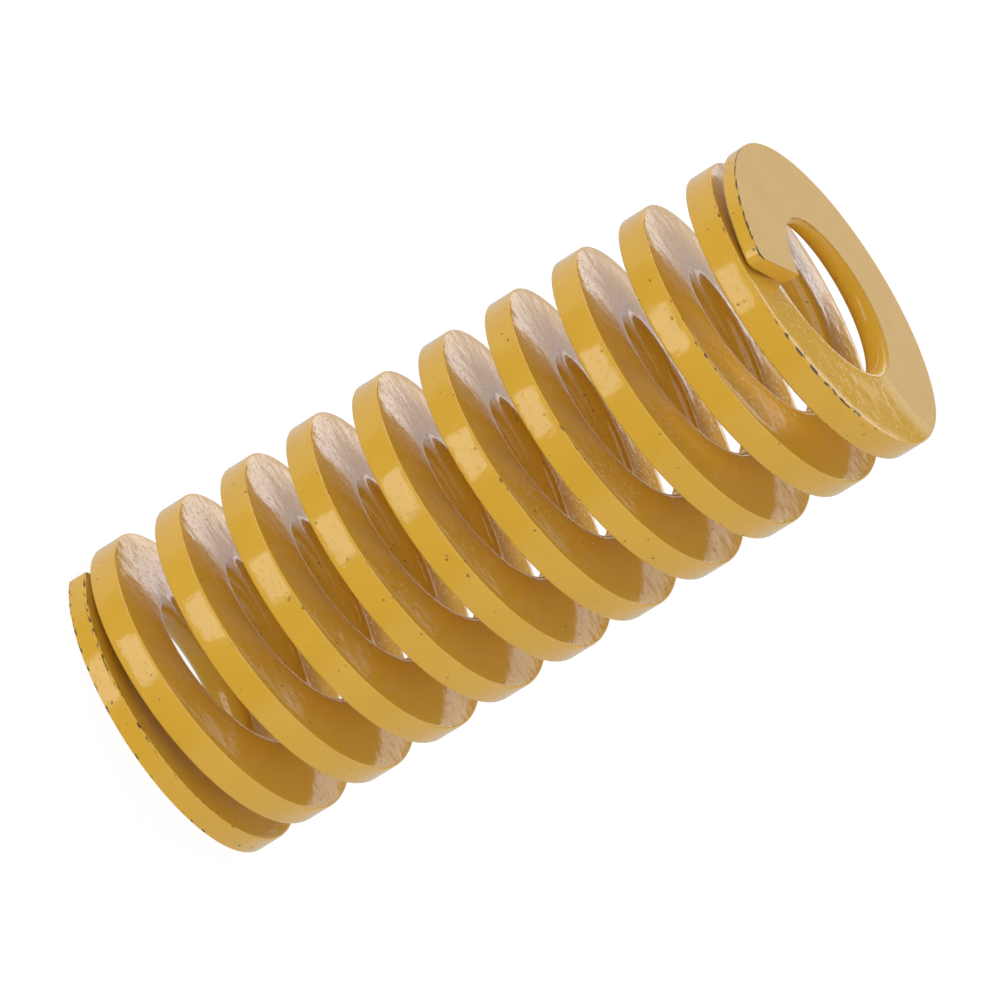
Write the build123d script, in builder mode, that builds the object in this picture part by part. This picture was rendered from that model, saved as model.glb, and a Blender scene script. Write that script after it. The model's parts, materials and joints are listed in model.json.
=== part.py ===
"""A die spring: one flat wire wound on edge into a round coil, with both ends closed and ground square.

It stands on its ground foot, with the axis of the coil along +Z and the origin at the middle of the foot.
"""

import os
from math import ceil, cos, hypot, radians, sqrt, tan

from build123d import *
from build123d.topology import SkipClean

os.makedirs("parts", exist_ok=True)

# Sizes that a catalogue gives, in millimetres
outside_diameter = 25.0  # stands in a pocket of this size
bore_diameter = 12.5  # slides over a guide rod of this size
free_length = 60.0

# The wire: wide across the coil, thin along it, and almost a round nose on the bore side
wire_thickness = 2.3
nose_corner = 0.7  # the break of both corners on the bore side

# The winding: a right-hand coil whose pitch grows evenly from nothing at each tip
total_turns = 11.13
tip_air = 0.3  # between each tip and the turn beside it
foot_tip_angle = 200.0  # where the wire starts, in degrees round the axis from +X

# The grinding leaves this much of the wire's thickness at its two tips
foot_tip = 1.5
head_tip = 1.2

# Worked out from the sizes above
outer_radius = outside_diameter / 2
bore_radius = bore_diameter / 2
climb = free_length + wire_thickness - foot_tip - head_tip  # of the wire, from tip to tip
# The pitch is full this many turns from a tip, so that the first turn climbs the wire's thickness and the air
opening_turns = (total_turns - sqrt(total_turns**2 - 2 * climb / (wire_thickness + tip_air))) / 2
coil_pitch = climb / (total_turns - opening_turns)
sector_count = ceil(total_turns * 12)  # about 30 degrees of the coil in each sector
sector_turns = total_turns / sector_count
half_sector = 180 * sector_turns  # degrees
spare = wire_thickness / 4  # how far a cutting face or block reaches past the wire


def open_turns(turns):
    """How many turns at full pitch would climb as far as the wire does, so many turns in from a tip."""
    if turns < opening_turns:
        return turns**2 / (2 * opening_turns)
    return turns - opening_turns / 2


def underside(turns):
    """Height of the wire's underside, so many turns from the foot's tip."""
    from_head = open_turns(total_turns) - open_turns(total_turns - turns)
    return foot_tip - wire_thickness + coil_pitch * (open_turns(turns) + from_head - turns)


def screw_face(low, high):
    """The wire's underside over one sector that climbs from low to high, laid about the X axis.

    It is level along each ray from the coil's axis, and climbs with the tangent of the angle from the middle
    of the sector. Over 30 degrees that keeps within 0.003 mm of a true screw surface.
    """
    near = bore_radius * cos(radians(half_sector)) - spare
    far = outer_radius + spare
    side = far * tan(radians(half_sector))
    slope = (high - low) / 2 / tan(radians(half_sector))
    columns = [(near, near), (2 * near * far / (near + far), (near + far) / 2), (far, far)]
    points = [[(x, y, (low + high) / 2 + slope * y / weight) for y in (-side, side)] for x, weight in columns]
    weights = [[weight, weight] for x, weight in columns]
    return Face.make_bezier_surface(points, weights)


def wire_sector(index):
    """One sector of the wire: a sector of a ring, cut to the slab between the wire's two flanks."""
    low, high = underside(index * sector_turns), underside((index + 1) * sector_turns)
    middle = Plane.XY.rotated((0, 0, foot_tip_angle + half_sector * (2 * index + 1)))
    with BuildPart() as sector:
        with BuildSketch(middle.offset(low - spare)):
            with BuildLine():
                wall = CenterArc((0, 0), outer_radius, -half_sector, 2 * half_sector)
                nose = CenterArc((0, 0), bore_radius, -half_sector, 2 * half_sector)
                Line(wall @ 0, nose @ 0)
                Line(wall @ 1, nose @ 1)
            make_face()
        extrude(amount=high - low + wire_thickness + 2 * spare)
        flank = middle.from_local_coords(screw_face(low, high))
        extrude(flank, amount=wire_thickness, dir=(0, 0, 1), mode=Mode.INTERSECT)
    return sector.part


def long_corners(wire, radius):
    """The long edges of the wire, where its flanks meet the round wall of this radius."""

    def on_wall(edge):
        middle = edge @ 0.5
        level = abs((edge % 0.5).Z) < 0.5
        return level and abs(hypot(middle.X, middle.Y) - radius) < 0.01

    return wire.edges().filter_by(on_wall)


# The sectors keep their seams, so that each face of a round wall spans one sector of the coil
with SkipClean():
    sectors = [wire_sector(index) for index in range(sector_count)]
    with BuildPart() as coil:
        add(sectors, clean=False)

    # The nose is broken before the ends are ground, so the ground edges stay sharp
    wire = chamfer(long_corners(coil.part, bore_radius), nose_corner)

    with BuildPart() as die_spring:
        add(wire, clean=False)
        with BuildSketch():
            Circle(outside_diameter)
        extrude(amount=free_length, mode=Mode.INTERSECT, clean=False)

print(f"pitch {coil_pitch:.3f} mm, air beside each tip {underside(1) - underside(0) - wire_thickness:.3f} mm")
die_spring.part.label = "die_spring"
export_step(die_spring.part, "parts/die_spring.step")
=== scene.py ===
import json
from math import cos, pi, radians, sin, sqrt

import bmesh
import bpy
import numpy as np
from mathutils import Matrix, Vector


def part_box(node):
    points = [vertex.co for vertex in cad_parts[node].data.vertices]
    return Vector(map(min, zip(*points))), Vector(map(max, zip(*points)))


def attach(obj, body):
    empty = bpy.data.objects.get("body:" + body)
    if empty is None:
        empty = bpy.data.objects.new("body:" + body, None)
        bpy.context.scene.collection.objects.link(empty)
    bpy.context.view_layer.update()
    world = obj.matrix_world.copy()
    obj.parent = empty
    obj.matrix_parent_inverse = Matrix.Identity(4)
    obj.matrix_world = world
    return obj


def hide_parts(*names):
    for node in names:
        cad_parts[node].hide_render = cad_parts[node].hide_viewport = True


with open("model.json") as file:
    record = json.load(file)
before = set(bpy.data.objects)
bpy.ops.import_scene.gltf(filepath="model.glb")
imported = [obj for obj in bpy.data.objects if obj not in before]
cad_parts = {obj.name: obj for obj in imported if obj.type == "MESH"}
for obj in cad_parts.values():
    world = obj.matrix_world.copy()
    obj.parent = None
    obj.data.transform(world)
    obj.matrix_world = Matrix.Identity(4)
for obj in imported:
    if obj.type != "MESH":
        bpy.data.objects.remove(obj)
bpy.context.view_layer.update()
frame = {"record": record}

# ---------------------------------------------------------------------------------------------
# The wire. Oil-tempered flat spring steel, wound on edge over a mandrel into a right-hand coil.
# The rolls leave its long outer corners a little round, and its bore side almost a round nose.
# Both ends are then ground square to the axis.
# ---------------------------------------------------------------------------------------------
MM = 0.001
box_low, box_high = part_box("die_spring")
guide_rod_bore = next(m for m in frame["record"]["mounts"] if m["name"] == "guide_rod_bore")
outer_radius = (box_high.x - box_low.x) / 2
bore_radius = guide_rod_bore["dims"]["r_mm"] * MM
free_length = box_high.z

wire_thickness = 2.3 * MM
swelling = 0.2 * MM  # winding on edge thickens the bore side by this much on each flank
corner_radius = 0.18 * MM  # of the two long corners on the outside
nose_radius = 1.0 * MM  # of the two long corners on the bore side
total_turns = 11.13
tip_air = 0.3 * MM  # between each tip and the turn beside it
foot_tip_angle = radians(200)
foot_tip = 1.5 * MM  # what the grinding leaves of the wire at each tip
head_tip = 1.2 * MM
tip_corner = 0.6 * MM  # rounding of each tip's outer corner, seen from above

# The pitch grows evenly from nothing at each tip, until the first turn is clear of its neighbour
climb = free_length + wire_thickness - foot_tip - head_tip
opening_turns = (total_turns - sqrt(total_turns**2 - 2 * climb / (wire_thickness + tip_air))) / 2
coil_pitch = climb / (total_turns - opening_turns)


def open_turns(turns):
    """How many turns at full pitch would climb as far as the wire does, so many turns in from a tip."""
    return np.where(turns < opening_turns, turns**2 / (2 * opening_turns), turns - opening_turns / 2)


def underside(turns):
    """Height of the wire's underside, so many turns from the foot's tip."""
    from_head = open_turns(np.float64(total_turns)) - open_turns(total_turns - turns)
    return foot_tip - wire_thickness + coil_pitch * (open_turns(turns) + from_head - turns)


def corner_arc(centre, radius, start, steps):
    """Points of a quarter turn round one corner of the section, as (reach, height) pairs."""
    angles = radians(start) + np.linspace(0, pi / 2, steps + 1)
    return [(centre[0] + radius * cos(a), centre[1] + radius * sin(a)) for a in angles]


def side_points(start, end, steps):
    """Points between two corners of the section, without the corners themselves."""
    return [tuple(np.add(start, np.multiply(np.subtract(end, start), k / steps))) for k in range(1, steps)]


# The section runs anticlockwise from the nose: lower flank, outer wall, upper flank
nose_steps, flank_steps, corner_steps, wall_steps = 8, 6, 5, 3
top = wire_thickness
nose_low = corner_arc((bore_radius + nose_radius, nose_radius), nose_radius, 180, nose_steps)
outer_low = corner_arc((outer_radius - corner_radius, corner_radius), corner_radius, 270, corner_steps)
outer_top = corner_arc((outer_radius - corner_radius, top - corner_radius), corner_radius, 0, corner_steps)
nose_top = corner_arc((bore_radius + nose_radius, top - nose_radius), nose_radius, 90, nose_steps)
before_low_corner = nose_low + side_points(nose_low[-1], outer_low[0], flank_steps)
before_top_corner = before_low_corner + outer_low + side_points(outer_low[-1], outer_top[0], wall_steps)
upper_flank = side_points(outer_top[-1], nose_top[0], flank_steps)
section = np.array(before_top_corner + outer_top + upper_flank + nose_top)
swell = swelling * (outer_radius - section[:, 0]) / (outer_radius - bore_radius)
section[:, 1] += swell * (2 * section[:, 1] / wire_thickness - 1)

# How far round the section each point lies, and so the middle of each outer corner
way_round = np.concatenate([[0], np.cumsum(np.hypot(*np.diff(section, axis=0, append=section[:1]).T))])
arc_middle = (corner_steps + 1) // 2
low_corner_way = way_round[len(before_low_corner) + arc_middle]
top_corner_way = way_round[len(before_top_corner) + arc_middle]

# Rings of the section stand every 0.4 mm, and closer where the shears left each tip's outer corner round
tip_rings, body_rings = 10, 1680
corner_turns = tip_corner / (2 * pi * outer_radius)
at_tip = corner_turns * (1 - np.cos(np.linspace(0, pi / 2, tip_rings)))
between_tips = np.linspace(corner_turns, total_turns - corner_turns, body_rings)[1:-1]
turns = np.concatenate([at_tip, between_tips, total_turns - at_tip[::-1]])
rings = len(turns)
angle = foot_tip_angle + 2 * pi * turns
from_tip = np.minimum(turns, total_turns - turns) / corner_turns
cut_back = tip_corner * (1 - np.sqrt(1 - np.clip(1 - from_tip, 0, 1) ** 2))
width_left = 1 - cut_back / (outer_radius - bore_radius)
reach = bore_radius + width_left[:, None] * (section[:, 0] - bore_radius)
height = underside(turns)[:, None] + section[:, 1]
points = np.stack([reach * np.cos(angle)[:, None], reach * np.sin(angle)[:, None], height], axis=-1)

# The UV layer holds each point's place along the wire and round its section, in mm, for the paint
wire = bmesh.new()
along = wire.loops.layers.uv.new("along_the_wire")
vertices = [wire.verts.new(point) for point in points.reshape(-1, 3)]
per_ring = len(section)
length_along = turns * 2 * pi * (outer_radius + bore_radius) / 2
for ring in range(rings - 1):
    for k in range(per_ring):
        after = (k + 1) % per_ring
        corners = [(ring, k), (ring + 1, k), (ring + 1, after), (ring, after)]
        face = wire.faces.new([vertices[r * per_ring + j] for r, j in corners])
        face.smooth = True
        ways = [way_round[k], way_round[k], way_round[k + 1], way_round[k + 1]]
        for loop, (r, _), way in zip(face.loops, corners, ways):
            loop[along].uv = (length_along[r] / MM, way / MM)
for ring in (0, rings - 1):
    wire.faces.new(vertices[ring * per_ring : (ring + 1) * per_ring])

# Grinding leaves a crescent with sharp edges at each end, which takes the second of the two finishes
ground_finish = 1
for ground_at, outward in ((0, -1), (free_length, 1)):
    every = wire.verts[:] + wire.edges[:] + wire.faces[:]
    cut = bmesh.ops.bisect_plane(
        wire, geom=every, plane_co=(0, 0, ground_at), plane_no=(0, 0, outward), clear_outer=True
    )
    rim = [e for e in cut["geom_cut"] if isinstance(e, bmesh.types.BMEdge)]
    for edge in rim:
        edge.smooth = False
    for face in bmesh.ops.contextual_create(wire, geom=rim)["faces"]:
        face.material_index = ground_finish
        face.smooth = False
bmesh.ops.recalc_face_normals(wire, faces=wire.faces)
sharp = radians(35)
for edge in wire.edges:
    if len(edge.link_faces) == 2 and edge.calc_face_angle() > sharp:
        edge.smooth = False

painted_wire = bpy.data.meshes.new("painted_wire")
wire.to_mesh(painted_wire)
wire.free()
spring = bpy.data.objects.new("die_spring_wire", painted_wire)
bpy.context.scene.collection.objects.link(spring)
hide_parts("die_spring")
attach(spring, "root")


# ---------------------------------------------------------------------------------------------
# The paint. Ochre stoving enamel, dipped over the whole spring after it is ground and then baked.
# It is glossy, with a slight orange peel, shallow pits, dust nibs and specks of dark grit.
# ---------------------------------------------------------------------------------------------
def linear(colour):
    """An sRGB hex colour as linear red, green, blue and alpha."""
    parts = [int(colour[i : i + 2], 16) / 255 for i in (1, 3, 5)]
    return [p / 12.92 if p <= 0.04045 else ((p + 0.055) / 1.055) ** 2.4 for p in parts] + [1.0]


def add_node(tree, kind, inputs=None, **settings):
    """Adds a node with its settings; each input is a plain value or the socket that feeds it."""
    node = tree.nodes.new(kind)
    for name, value in settings.items():
        setattr(node, name, value)
    for name, value in (inputs or {}).items():
        if isinstance(value, bpy.types.NodeSocket):
            tree.links.new(value, node.inputs[name])
        else:
            node.inputs[name].default_value = value
    return node


enamel_ior = 1.5
enamel = bpy.data.materials.new("stoving_enamel")
enamel.use_nodes = True
tree = enamel.node_tree
shader = tree.nodes["Principled BSDF"]
shader.inputs["IOR"].default_value = enamel_ior
place = add_node(tree, "ShaderNodeTexCoord").outputs["Object"]
level = add_node(tree, "ShaderNodeSeparateXYZ", {"Vector": place}).outputs["Z"]
unrolled = add_node(tree, "ShaderNodeUVMap", uv_map="along_the_wire").outputs["UV"]
spot = add_node(tree, "ShaderNodeSeparateXYZ", {"Vector": unrolled})

# The film is thicker in some places than in others, over 4 mm or so, which shifts the ochre a little
film_patch = 4 * MM
film = add_node(tree, "ShaderNodeTexNoise", {"Vector": place, "Scale": 1 / film_patch, "Detail": 4.0})
ochre = add_node(
    tree,
    "ShaderNodeMix",
    {"Factor": film.outputs["Fac"], 6: linear("#DAAA3C"), 7: linear("#CE9F2D")},
    data_type="RGBA",
)

# Grit of up to 0.2 mm in the film, about one speck to a square mm, with kinked outlines
cell = 0.7  # mm from one speck to the next
bare_cells = 0.4  # the share of the cells that has no speck
largest = 0.15  # radius of the largest speck, in cells
soft_rim = 0.03  # half the width of a speck's edge, in cells
kink, kink_shift = 0.2, 0.25  # mm, how long the kinks are and how far they push the outline
bend = add_node(tree, "ShaderNodeTexNoise", {"Vector": unrolled, "Scale": 1 / kink, "Detail": 1.0})
bent = add_node(
    tree,
    "ShaderNodeVectorMath",
    {0: bend.outputs["Color"], 1: (kink_shift, kink_shift, 0.0), 2: unrolled},
    operation="MULTIPLY_ADD",
)
specks = add_node(tree, "ShaderNodeTexVoronoi", {"Vector": bent.outputs[0], "Scale": 1 / cell})
chance = add_node(tree, "ShaderNodeSeparateColor", {"Color": specks.outputs["Color"]})
speck_size = add_node(
    tree, "ShaderNodeMapRange", {"Value": chance.outputs["Red"], "From Min": bare_cells, "To Max": largest}
)
speck_edge = add_node(
    tree,
    "ShaderNodeMath",
    {0: specks.outputs["Distance"], 1: speck_size.outputs["Result"]},
    operation="SUBTRACT",
)
speck = add_node(
    tree,
    "ShaderNodeMapRange",
    {"Value": speck_edge.outputs[0], "From Min": soft_rim, "From Max": -soft_rim, "To Max": 0.75},
)
grit = add_node(
    tree,
    "ShaderNodeMix",
    {"Factor": chance.outputs["Green"], 6: linear("#4A4426"), 7: linear("#7A4F22")},
    data_type="RGBA",
)
specked = add_node(
    tree,
    "ShaderNodeMix",
    {"Factor": speck.outputs["Result"], 6: ochre.outputs[2], 7: grit.outputs[2]},
    data_type="RGBA",
)

# Chips show dark steel along the outer corners and the ground rims, where the paint is thinnest. They come
# in runs: each pair is a turn, counted from the foot's tip, and the share of the paint rubbed off there
rubbed_runs = (
    (0.00, 0.8), (0.30, 0.6), (0.40, 0.1), (2.15, 0.1), (2.18, 0.5), (2.22, 0.1), (4.15, 0.1), (4.18, 0.6),
    (4.23, 0.1), (6.14, 0.1), (6.18, 0.8), (6.24, 0.2), (7.15, 0.2), (7.19, 0.8), (7.24, 0.1), (8.15, 0.1),
    (8.20, 0.6), (8.24, 0.1), (9.14, 0.1), (9.17, 0.9), (9.22, 0.2), (10.00, 0.2), (10.07, 0.7), (10.12, 0.1),
    (10.18, 0.3), (10.22, 1.0), (10.32, 0.9), (10.36, 0.1), (10.84, 0.1), (10.88, 1.0), (11.13, 1.0),
)
turn_reached = add_node(
    tree, "ShaderNodeMath", {0: spot.outputs["X"], 1: MM / length_along[-1]}, operation="MULTIPLY"
)
rubbed = add_node(tree, "ShaderNodeValToRGB", {"Fac": turn_reached.outputs[0]})
while len(rubbed.color_ramp.elements) < len(rubbed_runs):
    rubbed.color_ramp.elements.new(1.0)
for stop, (turn, share) in zip(rubbed.color_ramp.elements, rubbed_runs):
    stop.position = turn / total_turns
    stop.color = (share, share, share, 1)

# Chips stay within 0.2 mm of a corner or rim. The turn below shelters the lower corner a little, so every
# point counts as that much farther from it
to_edges = []
for corner_way, sheltered in ((low_corner_way, 0.12), (top_corner_way, 0.0)):
    past = add_node(tree, "ShaderNodeMath", {0: spot.outputs["Y"], 1: corner_way / MM}, operation="SUBTRACT")
    away = add_node(tree, "ShaderNodeMath", {0: past.outputs[0]}, operation="ABSOLUTE")
    counted = add_node(tree, "ShaderNodeMath", {0: away.outputs[0], 1: sheltered}, operation="ADD")
    to_edges.append(counted.outputs[0])
for upward, start in ((1 / MM, 0.0), (-1 / MM, free_length / MM)):
    away = add_node(tree, "ShaderNodeMath", {0: level, 1: upward, 2: start}, operation="MULTIPLY_ADD")
    to_edges.append(away.outputs[0])
nearest = to_edges[0]
for other in to_edges[1:]:
    nearest = add_node(tree, "ShaderNodeMath", {0: nearest, 1: other}, operation="MINIMUM").outputs[0]
near = add_node(tree, "ShaderNodeMapRange", {"Value": nearest, "From Min": 0.2, "From Max": 0.07})

# Each chip is about 0.6 mm long and 0.3 mm wide. The paint is gone where a noise is over a bound, which
# comes down as more is rubbed off, from one that the noise hardly reaches to one that it is mostly over
chips_per_mm = (1.6, 3.5, 1)
stretched = add_node(tree, "ShaderNodeMapping", {"Vector": unrolled, "Scale": chips_per_mm})
ragged = add_node(tree, "ShaderNodeTexNoise", {"Vector": stretched.outputs[0], "Scale": 1.0, "Detail": 3.0})
bound = add_node(
    tree, "ShaderNodeMapRange", {"Value": rubbed.outputs["Color"], "To Min": 0.72, "To Max": 0.47}
)
over = add_node(
    tree, "ShaderNodeMath", {0: ragged.outputs["Fac"], 1: bound.outputs["Result"]}, operation="SUBTRACT"
)
flaked = add_node(tree, "ShaderNodeMapRange", {"Value": over.outputs[0], "From Max": 0.03})
chip = add_node(
    tree, "ShaderNodeMath", {0: flaked.outputs["Result"], 1: near.outputs["Result"]}, operation="MULTIPLY"
)

# Where the last flank runs out into the head's ground face, the wheel only scuffed the steel, so the paint
# over it is half matt and a little browner
scuffed = add_node(
    tree,
    "ShaderNodeMapRange",
    {"Value": level, "From Min": free_length - 0.15 * MM, "From Max": free_length - 0.02 * MM, "To Max": 0.9},
)
dusted = add_node(
    tree,
    "ShaderNodeMix",
    {"Factor": scuffed.outputs["Result"], 6: specked.outputs[2], 7: linear("#BF9534")},
    data_type="RGBA",
)
coloured = add_node(
    tree,
    "ShaderNodeMix",
    {"Factor": chip.outputs[0], 6: dusted.outputs[2], 7: linear("#3B2E1A")},
    data_type="RGBA",
)
tree.links.new(coloured.outputs[2], shader.inputs["Base Color"])

# The surface, one layer on another, each with its height: orange peel in soft waves 1.5 mm long, a grain
# drawn at 0.3 mm because the real one is too fine to show, faint marks of the rolls 8 mm long and 0.6 mm
# wide, shallow pits 0.35 mm across, and a nib over each speck of grit
roll_marks_per_mm = (0.12, 1.6, 1)
peel = add_node(tree, "ShaderNodeTexNoise", {"Vector": place, "Scale": 1 / (1.5 * MM), "Detail": 1.0})
grain = add_node(tree, "ShaderNodeTexNoise", {"Vector": place, "Scale": 1 / (0.3 * MM), "Detail": 2.0})
rolled = add_node(tree, "ShaderNodeMapping", {"Vector": unrolled, "Scale": roll_marks_per_mm})
marks = add_node(tree, "ShaderNodeTexNoise", {"Vector": rolled.outputs[0], "Scale": 1.0, "Detail": 2.0})
pitted = add_node(tree, "ShaderNodeTexNoise", {"Vector": unrolled, "Scale": 1 / 0.35, "Detail": 2.0})
pits = add_node(
    tree, "ShaderNodeMapRange", {"Value": pitted.outputs["Fac"], "From Min": 0.6, "From Max": 0.7}
)
relief = {}
for pattern, rise, sunk in (
    (peel.outputs["Fac"], 0.035 * MM, False),
    (grain.outputs["Fac"], 0.004 * MM, False),
    (marks.outputs["Fac"], 0.002 * MM, False),
    (pits.outputs["Result"], 0.006 * MM, True),
    (speck.outputs["Result"], 0.03 * MM, False),
):
    bump = add_node(tree, "ShaderNodeBump", {"Height": pattern, "Distance": rise} | relief, invert=sunk)
    relief = {"Normal": bump.outputs[0]}
tree.links.new(relief["Normal"], shader.inputs["Normal"])

# The gloss is a little less where the ochre is darker, and half gone from chips and scuffs
gloss = add_node(
    tree,
    "ShaderNodeMapRange",
    {"Value": film.outputs["Fac"], "From Min": 0.3, "From Max": 0.7, "To Min": 0.09, "To Max": 0.14},
)
bared = add_node(
    tree, "ShaderNodeMath", {0: chip.outputs[0], 1: scuffed.outputs["Result"]}, operation="MAXIMUM"
)
dulled = add_node(
    tree,
    "ShaderNodeMath",
    {0: bared.outputs[0], 1: 0.35, 2: gloss.outputs["Result"]},
    operation="MULTIPLY_ADD",
)
tree.links.new(dulled.outputs[0], shader.inputs["Roughness"])
painted_wire.materials.append(enamel)

# The ground faces took the same paint on a rough surface, so they are matt, with a fine grain. It is drawn
# at 0.25 mm, because the wheel's own marks, about 0.1 mm apart, are too fine to show
matt = bpy.data.materials.new("enamel_over_ground_steel")
matt.use_nodes = True
tree = matt.node_tree
shader = tree.nodes["Principled BSDF"]
shader.inputs["IOR"].default_value = enamel_ior
matt_place = add_node(tree, "ShaderNodeTexCoord").outputs["Object"]
matt_film = add_node(
    tree, "ShaderNodeTexNoise", {"Vector": matt_place, "Scale": 1 / film_patch, "Detail": 4.0}
)
matt_ochre = add_node(
    tree,
    "ShaderNodeMix",
    {"Factor": matt_film.outputs["Fac"], 6: linear("#BF9534"), 7: linear("#B48A2D")},
    data_type="RGBA",
)
tree.links.new(matt_ochre.outputs[2], shader.inputs["Base Color"])
wheel = add_node(tree, "ShaderNodeTexNoise", {"Vector": matt_place, "Scale": 1 / (0.25 * MM), "Detail": 3.0})
rough = add_node(tree, "ShaderNodeBump", {"Height": wheel.outputs["Fac"], "Distance": 0.04 * MM})
tree.links.new(rough.outputs[0], shader.inputs["Normal"])
matt_gloss = add_node(
    tree, "ShaderNodeMapRange", {"Value": matt_film.outputs["Fac"], "To Min": 0.4, "To Max": 0.55}
)
tree.links.new(matt_gloss.outputs["Result"], shader.inputs["Roughness"])
painted_wire.materials.append(matt)

# ---------------------------------------------------------------------------------------------
# The studio: a pale paper floor, a dome of soft light that is brighter above than below, and two
# softboxes. Only the camera sees the floor, because the dome stands for it in light and gloss.
# ---------------------------------------------------------------------------------------------
bpy.ops.mesh.primitive_plane_add(size=6)
floor = bpy.context.object
floor.name = "floor"
floor.visible_glossy = False
floor.visible_diffuse = False
floor.visible_shadow = False

# The paper is near white by its own light, over a grey that takes the spring's shadow
paper = bpy.data.materials.new("white_paper")
paper.use_nodes = True
tree = paper.node_tree
tree.nodes.clear()
shaded = add_node(tree, "ShaderNodeBsdfDiffuse", {"Color": linear("#6C6C6C")})
lift = add_node(tree, "ShaderNodeEmission", {"Strength": 0.9})
both = add_node(tree, "ShaderNodeAddShader", {0: shaded.outputs[0], 1: lift.outputs[0]})
add_node(tree, "ShaderNodeOutputMaterial", {"Surface": both.outputs[0]})
floor.data.materials.append(paper)

# The light on the paint grows from dim below to bright a little above the horizon, and is dim overhead
overhead_strength = 0.15
world = bpy.data.worlds.new("studio")
bpy.context.scene.world = world
world.use_nodes = True
tree = world.node_tree
tree.nodes.clear()
direction = add_node(tree, "ShaderNodeTexCoord").outputs["Generated"]
axes = add_node(tree, "ShaderNodeSeparateXYZ", {"Vector": direction})
rising = add_node(
    tree,
    "ShaderNodeMapRange",
    {"Value": axes.outputs["Z"], "From Min": -0.4, "From Max": 0.35, "To Min": 0.4, "To Max": 1.75},
)
overhead = add_node(
    tree, "ShaderNodeMapRange", {"Value": axes.outputs["Z"], "From Min": 0.5, "From Max": 0.75}
)
lighting = add_node(
    tree,
    "ShaderNodeMix",
    {0: overhead.outputs["Result"], 2: rising.outputs["Result"], 3: overhead_strength},
    data_type="FLOAT",
)

# What the gloss mirrors is paper low down, with a bright strip of it behind the spring and the dark side
# where the camera stands at the front left, and above that a dim room under a bright ceiling
camera_side_strength = 0.12
in_front = add_node(
    tree, "ShaderNodeMapRange", {"Value": axes.outputs["Y"], "From Min": 0.15, "From Max": -0.1}
)
to_left = add_node(tree, "ShaderNodeMapRange", {"Value": axes.outputs["X"], "From Min": 0.6, "From Max": 0.4})
camera_side = add_node(
    tree,
    "ShaderNodeMath",
    {0: in_front.outputs["Result"], 1: to_left.outputs["Result"]},
    operation="MULTIPLY",
)
strip = add_node(
    tree,
    "ShaderNodeMapRange",
    {"Value": axes.outputs["Z"], "From Min": 0.12, "From Max": 0.18, "To Min": 0.65, "To Max": 2.2},
)
low_down = add_node(
    tree,
    "ShaderNodeMix",
    {0: camera_side.outputs[0], 2: strip.outputs["Result"], 3: camera_side_strength},
    data_type="FLOAT",
)
ceiling = add_node(
    tree,
    "ShaderNodeMapRange",
    {"Value": axes.outputs["Z"], "From Min": 0.43, "From Max": 0.46, "To Min": 0.1, "To Max": 1.5},
)
above = add_node(tree, "ShaderNodeMapRange", {"Value": axes.outputs["Z"], "From Min": 0.2, "From Max": 0.25})
mirrored = add_node(
    tree,
    "ShaderNodeMix",
    {0: above.outputs["Result"], 2: low_down.outputs[0], 3: ceiling.outputs["Result"]},
    data_type="FLOAT",
)

plain_white, cool_white = (1, 1, 1, 1), (0.97, 1.0, 1.06, 1)
glossy = add_node(tree, "ShaderNodeLightPath").outputs["Is Glossy Ray"]
strength = add_node(
    tree, "ShaderNodeMix", {0: glossy, 2: lighting.outputs[0], 3: mirrored.outputs[0]}, data_type="FLOAT"
)
tint = add_node(tree, "ShaderNodeMix", {"Factor": glossy, 6: plain_white, 7: cool_white}, data_type="RGBA")
dome = add_node(tree, "ShaderNodeBackground", {"Color": tint.outputs[2], "Strength": strength.outputs[0]})
add_node(tree, "ShaderNodeOutputWorld", {"Surface": dome.outputs[0]})

# Two softboxes: a small one low on the left of the camera, which the outer walls mirror, and a wide one
# high behind the spring, which reaches into the coil and draws a bright line along the outer corners. The
# small one is below the floor's level, which stops none of its light, as only the camera sees the floor
for name, toward, width, depth, radiance in (
    ("front_softbox", Vector((-0.594, -0.745, -0.307)), 0.6, 0.26, 3.2),
    ("back_softbox", Vector((-0.18, 0.66, 0.73)), 0.9, 0.3, 4.5),
):
    softbox = bpy.data.lights.new(name, "AREA")
    softbox.shape = "RECTANGLE"
    softbox.size = width
    softbox.size_y = depth
    softbox.energy = radiance * pi * width * depth
    stand = bpy.data.objects.new(name, softbox)
    bpy.context.scene.collection.objects.link(stand)
    stand.location = Vector((0, 0, free_length / 2)) + toward
    stand.rotation_euler = toward.to_track_quat("Z", "Y").to_euler()
    stand.visible_camera = False

# ---------------------------------------------------------------------------------------------
# The camera: a long lens, a little above the spring, aimed at the middle of its axis and turned
# so that the spring lies across the frame.
# ---------------------------------------------------------------------------------------------
elevation = radians(18.146)
roll = radians(58.203)
distance = 0.8809
aim = Vector((0, 0, free_length / 2))
back = Vector((0, -cos(elevation), sin(elevation)))
upright = Vector((0, sin(elevation), cos(elevation)))
right = cos(roll) * Vector((1, 0, 0)) + sin(roll) * upright
up = -sin(roll) * Vector((1, 0, 0)) + cos(roll) * upright
turned = Matrix((right, up, back)).transposed().to_4x4()
camera = bpy.data.objects.new("camera", bpy.data.cameras.new("camera"))
bpy.context.scene.collection.objects.link(camera)
camera.data.lens = 434.8
camera.data.sensor_width = 36
camera.data.clip_end = 20
camera.matrix_world = Matrix.Translation(aim + distance * back) @ turned
bpy.context.scene.camera = camera
bpy.context.scene.view_settings.view_transform = "Standard"
